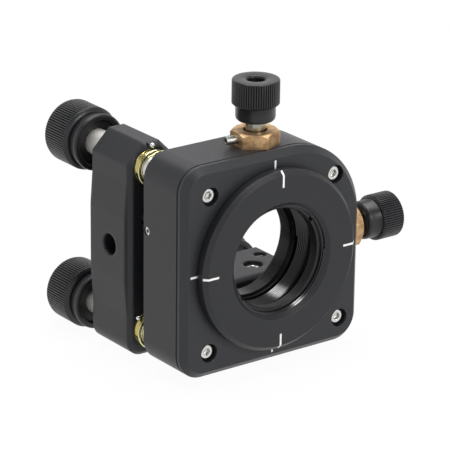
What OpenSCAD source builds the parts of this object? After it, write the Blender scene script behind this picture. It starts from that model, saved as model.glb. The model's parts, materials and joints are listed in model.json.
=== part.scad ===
// Kinematic mirror mount: an L-shaped back plate carries a front plate on three
// ball-ended fine screws, and the front plate carries an optic cell on a
// sliding stage with its own two fine screws.
// Millimetres, +Z up, -Y towards the light. The origin is the mouth of the post
// hole under the back plate. The parts are drawn about the optic's axis first
// and moved as one by in_frame().

/* [Plates] */
// Side of the square front plate
plate_w = 50.8; // [50:0.2:66]
// Thickness of the front cover
cover_t = 2.5; // [2.4:0.02:3.2]
// Thickness of the front plate with its cover
housing_t = 15.6; // [15.4:0.1:20]
// Thickness of the back plate
back_t = 15.2; // [14:0.1:22]
// Gap between the two plates
plate_gap = 5.6; // [5.6:0.1:6.8]
// Radius of three corners of the front plate
corner_r = 6; // [4:0.1:8]
// Radius of the fourth corner of the front plate
big_corner_r = 19.8; // [8:0.2:20]
// Chamfer round the front of the cover
front_chamfer = 1.5; // [0.5:0.1:1.8]
// Chamfer round the front of the back plate
back_chamfer = 1; // [0.4:0.1:1.8]
// Width of the back plate's two arms
arm_w = 11.8; // [11:0.1:14]
// Bevel across the free corners of the two arms
arm_bevel = 4.6; // [3:0.1:5]
// Radius of the back plate's corner between its arms
back_corner_r = 4; // [2:0.1:6]
// How far the seating pad stands out of the back plate's left side
pad_h = 0.6; // [0.3:0.1:1.5]
// How far the foot reaches below the front plate
foot_h = 1; // [0.4:0.1:2]

/* [Tilt adjusters] */
// Distance of an adjuster's axis from the outer edge of the plates
adj_edge = 5.5; // [5.4:0.1:6.2]
// Diameter of the flange of an adjuster's bushing
bush_d = 8.8; // [8.2:0.1:8.8]
// Diameter of the fine screw
adj_screw_d = 6.35; // [5.2:0.05:6.8]
// Diameter of the ball at the screw's tip
adj_ball_d = 5; // [4.1:0.1:5]
// Diameter of the knob's knurl
adj_knob_d = 15.3; // [13.8:0.1:19]
// Length of the knob's knurl
adj_knurl_len = 8.5; // [6:0.1:14]
// Gap between the back plate and the knob
adj_knob_gap = 4.9; // [4.2:0.1:8]

/* [Optic cell] */
// Diameter of the cell's disc
cell_d = 43.28; // [40:0.02:44]
// How far the disc stands in front of the cover
cell_proud = 3.16; // [2.6:0.02:4.5]
// Diameter of the optic thread, over its crests
thread_d = 26.29; // [21.9:0.01:26.4]
// Width of the retaining ring, front to back
ring_len = 2.6; // [1.6:0.1:4]
// Travel of the stage to each side
stage_travel = 1; // [0.5:0.1:1]

/* [Stage adjusters] */
// Depth of the stage adjusters' axes behind the cover's front
fine_y = 7.75; // [7.6:0.05:8]
// Diameter of the stage's fine screw
fine_d = 4.76; // [4.2:0.02:5.2]
// Diameter of the ball at its tip
fine_ball_d = 4; // [3.2:0.1:4]
// Width across the flats of the hexagonal bushing
hex_af = 10.5; // [9:0.1:12]
// Height of the hexagonal bushing
hex_h = 3.4; // [3:0.1:5]
// Diameter of the small knob's knurl
fine_knob_d = 11.04; // [9:0.02:14]
// Length of the small knob's knurl
fine_knurl_len = 6; // [4:0.1:9]

/* [Fastenings] */
// Diameter of the two post holes
post_hole_d = 5.2; // [4.2:0.1:6.2]
// Depth of the two post holes
post_hole_depth = 8.5; // [6:0.5:9]
// Diameter of a cover screw's head
screw_head_d = 3.5; // [3:0.1:4]

/* [Hidden] */
$fn = 96;

// Clearances
fit = 0.05; // a shaft in its hole, per side
slide_gap = 0.1; // a plate between its guides, per side
seat_gap = 0.3; // a large ball before its seat
nose_gap = 0.15; // a small ball or plunger before the flat it pushes

half = plate_w / 2;
adj_at = half - adj_edge;
back_y = housing_t + plate_gap;
rear_y = back_y + back_t;
post_y = back_y + back_t / 2 - 0.4;
foot_z = half + foot_h;
back_edge = 0.2;

// Tilt adjusters, along Y
adj_screw_r = adj_screw_d / 2;
adj_ball_r = adj_ball_d / 2;
bush_r = bush_d / 2;
bush_body_r = bush_r - 0.45;
bush_proud = 2.1;
seat_r = 3.25;
seat_y = housing_t - 4;
ball_y = housing_t + 1.7;
knob_y = rear_y + adj_knob_gap;
knob_bore_y = knob_y + 1.2;
collar_r = adj_knob_d / 2 - 0.75;
collar_len = 4.2;
knurl_y = knob_y + collar_len;
groove_y = knurl_y - 1.25;
knob_end = knurl_y + adj_knurl_len;
screw_end = knob_end - 2.6;
CORNER = [-adj_at, -adj_at];
TOP = [-adj_at, adj_at];
SIDE = [adj_at, -adj_at];

// Optic cell and its stage
thread_r = thread_d / 2;
disc_r = cell_d / 2;
disc_gap = 0.25;
hub_r = 16.9;
cover_hole_r = hub_r + 1.42 * stage_travel + 0.2;
spigot_r = thread_r + 1.1;
neck_flat = spigot_r + fit + 0.95;
neck_r = neck_flat + 1.45;
ring_y0 = cover_t + slide_gap;
ring_y1 = 5.1;
block_y0 = ring_y1 + slide_gap;
rear_wall = 2.5;
block_y1 = housing_t - rear_wall - slide_gap;
block_half = 16.5;
stage_half = block_half + stage_travel + 0.3;
guide_half = 19.5;
guide_r = 21.2;
front_pocket_r = guide_r + stage_travel + 0.3;
rear_pocket_r = front_pocket_r - 1.5;
spigot_y = ring_y1 + 3.2;
lip_r = thread_r - 1.25;
rear_hole_r = lip_r + stage_travel + 0.1;
ring_front = -1;
ring_in_r = thread_r - 1.2;

// Stage adjusters, along their own axis from the optic's axis
fine_r = fine_d / 2;
fine_ball_r = fine_ball_d / 2;
fine_ball_at = block_half + nose_gap + fine_ball_r;
fine_in = fine_ball_at + 0.65;
sleeve_r = 3.4;
sleeve_in = front_pocket_r + 0.3;
hex_top = half + hex_h;
fine_knob_at = hex_top + 2.2;
fine_collar_r = fine_knob_d / 2 - 0.9;
fine_knurl_at = fine_knob_at + 3.8;
fine_knob_end = fine_knurl_at + fine_knurl_len;
lift_hex_turn = -96.8;
shift_hex_turn = -105.7;
plunger_r = 1.6;

// Cover screws: three sit in the small corners, one further in
screw_left = half - 7.4;
screw_right = half - 5.7;
screw_low = half - 6;
SCREWS = [[-screw_left, -screw_low], [-screw_left, half - 7.1],
    [screw_right, -screw_low], [half - 7.8, half - 8.8]];
head_y = 0.85;
head_len = 1.05;

// Set screws in the back plate, measured from the optic's axis
lock_x = -adj_at + 3.35;
small_lock_x = -adj_at + bush_body_r + 0.1;

// Springs between the plates
spring_in = adj_at;
spring_at = 7.4;
spring_r = 1.6;
anchor_y = housing_t - 1.3;
pin_y = back_y + 9.6;
hook_y = back_y - 1.6;
LEFT = 0;
BELOW = -90;

// Helpers
module in_frame() {
    translate([0, -post_y, foot_z]) children();
}
module at(p) {
    translate([p[0], 0, p[1]]) children();
}
// Turned about Y; the profile's points are [radius, y]
module turned_y() {
    rotate([-90, 0, 0]) rotate_extrude() children();
}
module rod_y(r, y0, y1) {
    translate([0, y0, 0]) rotate([-90, 0, 0]) cylinder(r = r, h = y1 - y0);
}
// A bar along +X from x0 to x1
module rod_x(r, x0, x1) {
    translate([x0, 0, 0]) rotate([0, 90, 0]) cylinder(r = r, h = x1 - x0);
}
module hex_hole(af, h) {
    cylinder(r = af / sqrt(3), h = h, $fn = 6);
}
// One rounded corner of a plate, chamfered at the front and at the back
module corner_disc(p, r, y0, y1, cf, cr) {
    at(p) turned_y() polygon([[0, y0], [r - cf, y0], [r, y0 + cf],
        [r, y1 - cr], [r - cr, y1], [0, y1]]);
}
// One side of a plate from z0 to z1, its outer edge at x = -half, inset by e
module side_bar(z0, z1, y0, y1, cf, cr, x1, e = 0) {
    o = half - e;
    translate([0, 0, z0]) linear_extrude(z1 - z0)
        polygon([[-o + cf, y0], [x1, y0], [x1, y1],
            [-o + cr, y1], [-o, y1 - cr], [-o, y0 + cf]]);
}
module front_plate_shape(y0, y1, cf, cr, e = 0) {
    s = half - corner_r;
    b = half - big_corner_r;
    for (p = [[-s, -s], [s, -s], [-s, s]])
        corner_disc(p, corner_r - e, y0, y1, cf, cr);
    corner_disc([b, b], big_corner_r - e, y0, y1, cf, cr);
    side_bar(-s, s, y0, y1, cf, cr, 0, e);
    rotate([0, 90, 0]) side_bar(-s, b, y0, y1, cf, cr, 0, e);
    rotate([0, 180, 0]) side_bar(-b, s, y0, y1, cf, cr, 0, e);
    rotate([0, 270, 0]) side_bar(-s, s, y0, y1, cf, cr, 0, e);
}
// A block of the back plate with one edge at distance d, turned about Y
module edge_block(turn, d) {
    c = back_chamfer;
    rotate([0, turn, 0]) translate([0, 0, -45]) linear_extrude(90)
        polygon([[-d + c, back_y], [45, back_y], [45, rear_y],
            [-d + back_edge, rear_y], [-d, rear_y - back_edge], [-d, back_y + c]]);
}
// An arm along +Z from z0, its outer side at -out, its free end at z1
module arm(out, z0, z1) {
    inner = half - arm_w;
    intersection() {
        edge_block(LEFT, out);
        edge_block(180, -inner);
        edge_block(90, z1);
        edge_block(45, (half + z1 - arm_bevel) * sqrt(0.5));
        edge_block(135, (z1 - inner - 3) * sqrt(0.5));
        translate([-45, back_y - 1, z0]) cube([90, back_t + 2, 90]);
    }
}
// The pad that a post's shoulder bears on
module pad() {
    translate([0, rear_y - back_edge, 0]) rotate([90, 0, 0])
        linear_extrude(back_t - back_chamfer - back_edge)
        polygon([[-half + 1, -16.2], [-half, -16.2], [-half - pad_h, -7.75],
            [-half - pad_h, 7.75], [-half, 16.2], [-half + 1, 16.2]]);
}
// What lies about the left side, or turned to lie about the lower side
module on_side(a) {
    rotate([0, a, 0]) children();
}

// Back plate
module back_plate() color([0.23, 0.23, 0.24]) in_frame() difference() {
    union() {
        corner_disc([-half + back_corner_r, -foot_z + back_corner_r],
            back_corner_r, back_y, rear_y, back_chamfer, back_edge);
        arm(half, -foot_z + back_corner_r, half);
        mirror([1, 0, -1]) arm(foot_z, -half + back_corner_r, half);
        pad();
    }
    for (p = [CORNER, TOP, SIDE])
        at(p) rod_y(bush_body_r + fit, back_y - 1, rear_y + 1);
    for (a = [LEFT, BELOW]) on_side(a) {
        m = a == LEFT ? 1 : -1;
        // post hole
        translate([0, post_y, 0])
            rod_x(post_hole_d / 2, -30, (a == LEFT ? -half - pad_h : -foot_z)
                + post_hole_depth);
        // spring's hole and its cross pin's hole
        translate([-spring_in, 0, m * spring_at]) rod_y(2.2, back_y - 1, back_y + 12);
        translate([0, pin_y, m * spring_at])
            rod_x(0.8 + fit, -spring_in - 3.2, -half + arm_w + 1);
        // holes of the two screws that lock the bushing and the fine screw's nut
        translate([0, post_y - 1.1, m * (adj_at - 5)])
            rod_x(2.45, lock_x - 0.02, -half + arm_w + 1);
        translate([0, post_y + 3.2, m * (adj_at + 0.3)])
            rod_x(1.65, small_lock_x - 0.02, -half + arm_w + 1);
    }
}
module bushing(p) color([0.76, 0.62, 0.36]) in_frame() at(p) turned_y()
    polygon([[adj_screw_r + fit, back_y - bush_proud + 0.3],
        [adj_screw_r + fit + 0.3, back_y - bush_proud],
        [bush_r - 0.3, back_y - bush_proud], [bush_r, back_y - bush_proud + 0.3],
        [bush_r, back_y], [bush_body_r, back_y],
        [bush_body_r, rear_y - 0.2], [adj_screw_r + fit, rear_y - 0.2]]);
module adj_screw(p) color([0.80, 0.80, 0.82]) in_frame() at(p) difference() {
    turned_y() polygon([[0, ball_y + 1.2], [adj_ball_r + 0.15, ball_y + 1.2],
        [adj_screw_r, ball_y + 2], [adj_screw_r, screw_end - 0.4],
        [adj_screw_r - 0.4, screw_end], [0, screw_end]]);
    translate([0, ball_y, 0]) sphere(r = adj_ball_r + fit);
    translate([0, screw_end + 1, 0]) rotate([90, 0, 0]) hex_hole(2.5, 4.5);
}
module adj_ball(p) color([0.85, 0.85, 0.87]) in_frame() at(p)
    translate([0, ball_y, 0]) sphere(r = adj_ball_r);
module adj_knob(p) color([0.20, 0.20, 0.21]) in_frame() at(p) {
    kr = adj_knob_d / 2;
    turned_y() polygon([[adj_screw_r + fit, knob_bore_y],
        [collar_r - 1.4, knob_bore_y], [collar_r - 1.4, knob_y],
        [collar_r - 0.6, knob_y], [collar_r - 0.15, knob_y + 0.2],
        [collar_r, knob_y + 0.6], [collar_r, groove_y], [collar_r - 0.5, groove_y],
        [collar_r - 0.5, groove_y + 0.5], [collar_r, groove_y + 0.5], [kr, knurl_y],
        [kr, knob_end - 1.2], [kr - 0.35, knob_end - 0.35], [kr - 1.2, knob_end],
        [2.4, knob_end], [2.4, screw_end + 0.05], [adj_screw_r + fit, screw_end + 0.05]]);
}
// Set screws of each adjuster: a large one beside the bushing, a small one on it
module bushing_lock(a) color([0.72, 0.72, 0.74]) in_frame() on_side(a)
    translate([lock_x, post_y - 1.1, (a == LEFT ? 1 : -1) * (adj_at - 5)]) difference() {
        rod_x(2.4, 0, 1.3);
        translate([0.4, 0, 0]) rotate([0, 90, 0]) hex_hole(2, 3);
    }
module small_lock(a) color([0.72, 0.72, 0.74]) in_frame() on_side(a)
    translate([small_lock_x, post_y + 3.2, (a == LEFT ? 1 : -1) * (adj_at + 0.3)])
        difference() {
            rod_x(1.6, 0, 1.6);
            translate([0.5, 0, 0]) rotate([0, 90, 0]) hex_hole(1.5, 3);
        }
// Drawbar spring: a closed coil with a loop at each end
module spring(a) color([0.74, 0.75, 0.77]) in_frame() on_side(a) {
    m = a == LEFT ? 1 : -1;
    translate([-spring_in, 0, m * spring_at]) {
        rod_y(spring_r, anchor_y + 1.7, pin_y - 1.5);
        translate([0, anchor_y, 0]) rotate([0, 90, 0])
            rotate_extrude() translate([1.5, 0]) circle(r = 0.3);
        translate([0, pin_y, 0]) rotate([0, 90, 0])
            rotate_extrude() translate([1.3, 0]) circle(r = 0.3);
    }
}
module spring_pins() color([0.80, 0.80, 0.82]) in_frame()
    for (a = [LEFT, BELOW]) on_side(a)
        translate([0, pin_y, (a == LEFT ? 1 : -1) * spring_at])
            rod_x(0.8, -spring_in - 3, -half + arm_w - 0.3);
// Wire hook that keeps the plates from parting when the screws are out
module hook(p, turn) color([0.80, 0.68, 0.36]) in_frame() at(p) rotate([0, turn, 0])
    translate([0, 0, bush_r + 0.55]) {
        rod_y(0.3, housing_t - 1.5, hook_y);
        translate([0, hook_y, 0]) sphere(r = 0.5, $fn = 48);
    }

// Front plate
module front_housing() color([0.23, 0.23, 0.24]) in_frame() difference() {
    union() {
        front_plate_shape(cover_t, cover_t + 0.3, 0, 0, 0.2);
        front_plate_shape(cover_t + 0.3, housing_t, 0, 0.12);
    }
    // pocket for the guide ring, its flats the guides for the sideways slide
    translate([0, cover_t - 1, 0]) intersection() {
        rod_y(front_pocket_r, 0, block_y0 - cover_t + 1);
        translate([-30, 0, -guide_half - fit])
            cube([60, block_y0 - cover_t + 1, 2 * (guide_half + fit)]);
    }
    // pocket for the cell block
    intersection() {
        rod_y(rear_pocket_r, cover_t - 1, block_y1 + slide_gap);
        translate([-stage_half, cover_t - 1, -stage_half])
            cube([2 * stage_half, block_y1 + slide_gap - cover_t + 1, 2 * stage_half]);
    }
    rod_y(rear_hole_r, 1, housing_t + 1);
    turned_y() polygon([[0, housing_t - 1.1], [rear_hole_r, housing_t - 1.1],
        [rear_hole_r + 1.1 + 0.2, housing_t + 0.2], [0, housing_t + 0.2]]);
    for (p = SCREWS) at(p) rod_y(0.8 + fit, cover_t - 1, 8);
    for (p = [CORNER, TOP, SIDE]) at(p) rod_y(seat_r + fit, seat_y - 0.1, housing_t + 1);
    for (a = [LEFT, BELOW]) on_side(a) {
        m = a == LEFT ? 1 : -1;
        translate([-spring_in, 0, m * spring_at]) rod_y(1.95, anchor_y - 1.95, housing_t + 1);
        translate([0, anchor_y, m * spring_at]) rod_x(1 + fit, -half - 1, -spring_in + 1);
        // spring plunger's blind hole
        translate([0, fine_y, 0]) rod_x(plunger_r + fit, -half + 1.2, -stage_half + 1);
    }
    for (a = [90, 180]) rotate([0, a, 0])
        translate([0, fine_y, 0]) rod_x(sleeve_r + fit, -half - 1, -stage_half + 1);
    for (h = [[CORNER, -45], [TOP, 0]])
        at(h[0]) rotate([0, h[1], 0]) translate([0, 0, bush_r + 0.55])
            rod_y(0.35, housing_t - 1.6, housing_t + 1);
}
module front_cover() color([0.25, 0.25, 0.26]) in_frame() difference() {
    union() {
        front_plate_shape(0, cover_t - 0.3, front_chamfer, 0);
        front_plate_shape(cover_t - 0.3, cover_t, 0, 0, 0.2);
    }
    rod_y(cover_hole_r, -1, cover_t + 1);
    for (p = SCREWS) at(p) {
        rod_y(screw_head_d / 2 + 0.5, -1, head_y + head_len);
        rod_y(1.1, -1, cover_t + 1);
    }
}
module cover_screws() color([0.82, 0.82, 0.84]) in_frame()
    for (p = SCREWS) at(p) difference() {
        union() {
            rod_y(screw_head_d / 2, head_y, head_y + head_len);
            rod_y(0.8, head_y + 0.2, 7.5);
        }
        translate([0, head_y - 1, 0]) rotate([-90, 0, 0]) rotate([0, 0, 15])
            hex_hole(1.5, 1.75);
    }
module seat_blank() {
    rod_y(seat_r, seat_y, housing_t);
}
// Hollow cone: places the corner ball in all directions
module cone_seat() color([0.78, 0.78, 0.80]) in_frame() at(CORNER) difference() {
    seat_blank();
    turned_y() polygon([[0, ball_y - (adj_ball_r + seat_gap) * sqrt(2)],
        [5, ball_y - (adj_ball_r + seat_gap) * sqrt(2) + 5], [0, housing_t + 5]]);
}
// Groove towards the cone: leaves the top ball one way to slide
module vee_seat() color([0.78, 0.78, 0.80]) in_frame() at(TOP) difference() {
    seat_blank();
    translate([0, ball_y - (adj_ball_r + seat_gap) * sqrt(2), -5])
        linear_extrude(10) polygon([[0, 0], [5, 5], [-5, 5]]);
}
// Flat: stops the side ball in one direction only
module flat_seat() color([0.78, 0.78, 0.80]) in_frame() at(SIDE) difference() {
    seat_blank();
    rod_y(2.75, ball_y - adj_ball_r - seat_gap, housing_t + 1);
}
module spring_anchors() color([0.72, 0.72, 0.74]) in_frame()
    for (a = [LEFT, BELOW]) on_side(a)
        translate([0, anchor_y, (a == LEFT ? 1 : -1) * spring_at]) difference() {
            rod_x(1, -half + 0.25, -spring_in + 0.9);
            translate([-half - 1, 0, 0]) rotate([0, 90, 0]) hex_hole(0.95, 2.3);
        }

// Sliding stage
// Flat ring that slides sideways in the housing and carries the block's flats
module guide_ring() color([0.55, 0.55, 0.57]) in_frame()
    difference() {
        intersection() {
            rod_y(guide_r, ring_y0, ring_y1);
            translate([-30, 0, -guide_half]) cube([60, 10, 2 * guide_half]);
        }
        intersection() {
            rod_y(neck_r + stage_travel + 0.1, ring_y0 - 1, ring_y1 + 1);
            translate([-neck_flat - fit, 0, -30]) cube([2 * (neck_flat + fit), 10, 60]);
        }
    }
module cell_block() color([0.24, 0.24, 0.25]) in_frame()
    difference() {
        union() {
            intersection() {
                rod_y(neck_r, ring_y0, block_y0 + 1);
                translate([-neck_flat, 0, -30]) cube([2 * neck_flat, 10, 60]);
            }
            intersection() {
                rod_y(rear_pocket_r - 1.42 * stage_travel - 0.2, block_y0, block_y1);
                translate([-block_half, 0, -block_half])
                    cube([2 * block_half, 20, 2 * block_half]);
            }
        }
        rod_y(spigot_r + fit, 0, spigot_y + 0.1);
        rod_y(lip_r, 0, housing_t);
        turned_y() polygon([[0, spigot_y - 1], [lip_r + 0.55, spigot_y - 1],
            [lip_r + 0.55, spigot_y + 0.3], [lip_r, spigot_y + 1.1], [0, spigot_y + 1.1]]);
    }
// Disc with the threaded bore; its spigot screws into the block
module cell() color([0.24, 0.24, 0.25]) in_frame() turned_y()
    polygon([[thread_r, -cell_proud + 0.95], [thread_r + 0.95, -cell_proud],
        [disc_r - 0.97, -cell_proud], [disc_r, -cell_proud + 0.97],
        [disc_r, -disc_gap], [hub_r, -disc_gap], [hub_r, cover_t - 0.04],
        [spigot_r, cover_t - 0.04], [spigot_r, spigot_y], [thread_r + 0.25, spigot_y],
        [thread_r + 0.25, spigot_y - 0.9], [thread_r, spigot_y - 0.9]]);
module retaining_ring() color([0.20, 0.20, 0.21]) in_frame() difference() {
    turned_y() polygon([[ring_in_r + 0.3, ring_front], [thread_r - fit - 0.25, ring_front],
        [thread_r - fit, ring_front + 0.25], [thread_r - fit, ring_front + ring_len],
        [ring_in_r, ring_front + ring_len], [ring_in_r, ring_front + 0.3]]);
    for (a = [-38.5, 141.5]) rotate([0, a, 0])
        translate([ring_in_r - 1, ring_front - 1, -0.65]) cube([4, 1.9, 1.3]);
}
// The two stage adjusters are drawn with their axis along Z and placed
module on_lift() {
    in_frame() translate([0, fine_y, 0]) children();
}
module on_shift() {
    in_frame() translate([0, fine_y, 0]) rotate([0, 90, 0]) children();
}
module hex_bushing(turn, lock_turn) color([0.72, 0.56, 0.44]) difference() {
    union() {
        intersection() {
            translate([0, 0, half]) rotate([0, 0, turn])
                cylinder(r = hex_af / sqrt(3), h = hex_h, $fn = 6);
            translate([0, 0, half - 1]) rotate_extrude() polygon([[0, 0],
                [hex_af * 0.58 + 0.3, 0], [hex_af * 0.58 + 0.3, hex_h + 0.2],
                [hex_af * 0.58 - 0.9, hex_h + 1], [0, hex_h + 1]]);
        }
        translate([0, 0, sleeve_in]) cylinder(r = sleeve_r, h = half - sleeve_in + 1);
    }
    translate([0, 0, sleeve_in - 1]) cylinder(r = fine_r + fit, h = 30);
    translate([0, 0, hex_top - 1.7]) rotate([0, 0, lock_turn]) rod_x(1 + fit, 0, 10);
}
module fine_screw() color([0.82, 0.82, 0.84]) difference() {
    translate([0, 0, fine_in]) rotate_extrude() polygon([[0, 0], [fine_r, 0],
        [fine_r, fine_knob_end - 3 - fine_in - 0.3],
        [fine_r - 0.3, fine_knob_end - 3 - fine_in], [0, fine_knob_end - 3 - fine_in]]);
    translate([0, 0, fine_ball_at]) sphere(r = fine_ball_r + fit);
    translate([0, 0, fine_knob_end - 5]) hex_hole(2, 5);
}
module fine_ball() color([0.85, 0.85, 0.87])
    translate([0, 0, fine_ball_at]) sphere(r = fine_ball_r);
module fine_knob() color([0.20, 0.20, 0.21]) {
    kr = fine_knob_d / 2;
    rotate_extrude() polygon([[fine_r + fit, fine_knob_at], [fine_collar_r - 0.8, fine_knob_at],
        [fine_collar_r, fine_knob_at + 1], [fine_collar_r, fine_knurl_at],
        [kr - 0.3, fine_knurl_at], [kr, fine_knurl_at + 0.3],
        [kr, fine_knob_end - 0.8], [kr - 0.25, fine_knob_end - 0.25],
        [kr - 0.8, fine_knob_end], [2.45, fine_knob_end], [2.1, fine_knob_end - 0.35],
        [2.1, fine_knob_end - 2.95], [fine_r + fit, fine_knob_end - 2.95]]);
}
module lock_screw(turn) color([0.80, 0.80, 0.82])
    translate([0, 0, hex_top - 1.7]) rotate([0, 0, turn]) difference() {
        rod_x(1, fine_r + 0.2, 7.75);
        translate([6.4, 0, 0]) rotate([0, 90, 0]) hex_hole(1, 3);
    }
// Spring-loaded pin that presses the block back against the screw's ball
module plunger(a) color([0.80, 0.80, 0.82]) in_frame() on_side(a)
    translate([0, fine_y, 0]) {
        x1 = -block_half - nose_gap - plunger_r;
        translate([x1, 0, 0]) sphere(r = plunger_r);
        rod_x(plunger_r, -block_half - 3.5, x1);
    }
module plunger_spring(a) color([0.74, 0.75, 0.77]) in_frame() on_side(a)
    translate([0, fine_y, 0]) difference() {
        rod_x(1.4, -half + 1.3, -block_half - 3.6);
        rod_x(0.95, -half + 1.2, -block_half - 3.5);
    }

back_plate();
bushing(CORNER);  // bushing_corner
bushing(TOP);  // bushing_top
bushing(SIDE);  // bushing_side
adj_screw(CORNER);  // adj_screw_corner
adj_screw(TOP);  // adj_screw_top
adj_screw(SIDE);  // adj_screw_side
adj_ball(CORNER);  // adj_ball_corner
adj_ball(TOP);  // adj_ball_top
adj_ball(SIDE);  // adj_ball_side
adj_knob(CORNER);  // adj_knob_corner
adj_knob(TOP);  // adj_knob_top
adj_knob(SIDE);  // adj_knob_side
bushing_lock(LEFT);  // bushing_lock_top
bushing_lock(BELOW);  // bushing_lock_side
small_lock(LEFT);  // small_lock_top
small_lock(BELOW);  // small_lock_side
spring(LEFT);  // spring_top
spring(BELOW);  // spring_side
spring_pins();
hook(CORNER, -45);  // hook_corner
hook(TOP, 0);  // hook_top
front_housing();
front_cover();
cover_screws();
cone_seat();
vee_seat();
flat_seat();
spring_anchors();
guide_ring();
cell_block();
cell();
retaining_ring();
on_lift() hex_bushing(lift_hex_turn, lift_hex_turn - 90);  // lift_bushing
on_lift() fine_screw();  // lift_screw
on_lift() fine_ball();  // lift_ball
on_lift() fine_knob();  // lift_knob
on_lift() lock_screw(lift_hex_turn - 90);  // lift_lock
plunger(BELOW);  // lift_plunger
plunger_spring(BELOW);  // lift_plunger_spring
on_shift() hex_bushing(shift_hex_turn, shift_hex_turn - 150);  // shift_bushing
on_shift() fine_screw();  // shift_screw
on_shift() fine_ball();  // shift_ball
on_shift() fine_knob();  // shift_knob
on_shift() lock_screw(shift_hex_turn - 150);  // shift_lock
plunger(LEFT);  // shift_plunger
plunger_spring(LEFT);  // shift_plunger_spring
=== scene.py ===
import json
import math

import bpy
from mathutils import Matrix, Vector


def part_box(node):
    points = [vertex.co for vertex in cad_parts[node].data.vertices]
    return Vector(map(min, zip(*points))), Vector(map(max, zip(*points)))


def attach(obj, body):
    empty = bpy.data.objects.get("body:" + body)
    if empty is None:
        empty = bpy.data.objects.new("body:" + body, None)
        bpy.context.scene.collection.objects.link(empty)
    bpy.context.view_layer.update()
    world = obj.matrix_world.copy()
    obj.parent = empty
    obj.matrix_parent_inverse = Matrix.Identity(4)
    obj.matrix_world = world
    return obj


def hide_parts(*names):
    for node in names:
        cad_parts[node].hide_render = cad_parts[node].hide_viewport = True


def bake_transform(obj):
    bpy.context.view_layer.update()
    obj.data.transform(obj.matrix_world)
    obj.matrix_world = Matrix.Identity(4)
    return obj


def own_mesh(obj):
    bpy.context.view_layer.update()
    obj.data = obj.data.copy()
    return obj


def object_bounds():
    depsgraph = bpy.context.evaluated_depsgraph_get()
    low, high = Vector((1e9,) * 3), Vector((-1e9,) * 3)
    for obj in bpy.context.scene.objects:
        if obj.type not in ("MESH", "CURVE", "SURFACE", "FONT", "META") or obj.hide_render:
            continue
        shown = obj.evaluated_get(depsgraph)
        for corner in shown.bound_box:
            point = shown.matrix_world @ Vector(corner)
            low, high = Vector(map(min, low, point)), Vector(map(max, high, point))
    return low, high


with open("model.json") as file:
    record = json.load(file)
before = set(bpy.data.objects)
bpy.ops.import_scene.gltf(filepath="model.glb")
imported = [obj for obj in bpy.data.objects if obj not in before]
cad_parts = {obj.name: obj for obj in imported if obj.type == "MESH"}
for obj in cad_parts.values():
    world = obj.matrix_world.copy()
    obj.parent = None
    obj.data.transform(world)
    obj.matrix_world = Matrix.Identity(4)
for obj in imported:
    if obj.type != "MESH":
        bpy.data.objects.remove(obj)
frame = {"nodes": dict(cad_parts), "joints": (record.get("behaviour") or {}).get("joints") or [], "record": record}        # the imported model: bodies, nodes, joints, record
cad_low, cad_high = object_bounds()
MM = 0.001

# Sizes that more than one piece uses, in mm
SPRING_PITCH = 0.56           # closed coil of the return springs
SPRING_LOOP = 3.0             # length that each of their end loops takes
TILT_PITCH = 0.3175           # 80 threads to the inch
STAGE_PITCH = 0.254           # 100 threads to the inch
OPTIC_PITCH = 0.635           # 40 threads to the inch
TILT_BORE = 3.225             # radius that a tilt screw runs in
STAGE_BORE = 2.43             # radius that a stage screw runs in
OPTIC_BORE = 13.145           # radius of the cell's threaded bore
WHITE_PAINT = (0.85, 0.85, 0.83)

# Where the adjusters turn, from the record's joints
JOINTS = {joint["name"]: joint for joint in frame["joints"]}
TILT_ADJUSTERS = ("corner", "top", "side")
cell_low, cell_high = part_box("cell")
OPTIC_AXIS = Vector((0.0, 0.0, (cell_low.z + cell_high.z) / 2))
ADJUSTER_AXIS = {which: Vector((JOINTS[which + "_turn"]["pos_m"][0], 0.0,
                                JOINTS[which + "_turn"]["pos_m"][2]))
                 for which in TILT_ADJUSTERS}
STAGE_Y = JOINTS["lift_turn"]["pos_m"][1]

# How a part that is made about Z is turned to lie along another axis
ALONG_X = (0, math.pi / 2, 0)
ALONG_Y = (-math.pi / 2, 0, 0)
ALONG_Z = (0, 0, 0)


# Bench helpers
def nothing_selected():
    bpy.ops.object.select_all(action="DESELECT")


def only(piece):
    nothing_selected()
    piece.select_set(True)
    bpy.context.view_layer.objects.active = piece


def begin(name):
    """Names the new primitive and makes its place part of its mesh."""
    piece = bpy.context.object
    piece.name = name
    piece.data.name = name
    bpy.ops.object.transform_apply(location=True, rotation=True, scale=True)
    return piece


def edit_all():
    bpy.ops.object.mode_set(mode="EDIT")
    bpy.ops.mesh.select_mode(type="VERT")
    bpy.ops.mesh.select_all(action="SELECT")


def pick(piece, test):
    """Opens the piece with only the vertices selected for which test(co) holds."""
    only(piece)
    bpy.ops.object.mode_set(mode="EDIT")
    bpy.ops.mesh.select_mode(type="VERT")
    bpy.ops.mesh.select_all(action="DESELECT")
    bpy.ops.object.mode_set(mode="OBJECT")
    for vertex in piece.data.vertices:
        vertex.select = bool(test(vertex.co))
    bpy.ops.object.mode_set(mode="EDIT")
    bpy.ops.mesh.select_mode(type="VERT")


def leave():
    bpy.ops.object.mode_set(mode="OBJECT")


def smooth(piece, degrees=30):
    only(piece)
    bpy.ops.object.shade_smooth_by_angle(angle=math.radians(degrees))


def clean(piece):
    """Merges doubles and turns every face outwards."""
    only(piece)
    edit_all()
    bpy.ops.mesh.remove_doubles(threshold=1e-7)
    bpy.ops.mesh.normals_make_consistent(inside=False)
    leave()


def apply(piece, modifier):
    only(piece)
    bpy.ops.object.modifier_apply(modifier=modifier.name)


def joined(parts, name):
    only(parts[0])
    for part in parts:
        part.select_set(True)
    bpy.ops.object.join()
    parts[0].name = name
    parts[0].data.name = name
    return parts[0]


def stand(piece, turn, where):
    """Lays a part that was made about Z along its own axis, at its place."""
    only(piece)
    piece.rotation_euler = turn
    piece.location = where
    bpy.ops.object.transform_apply(location=True, rotation=True, scale=True)
    return piece


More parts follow.
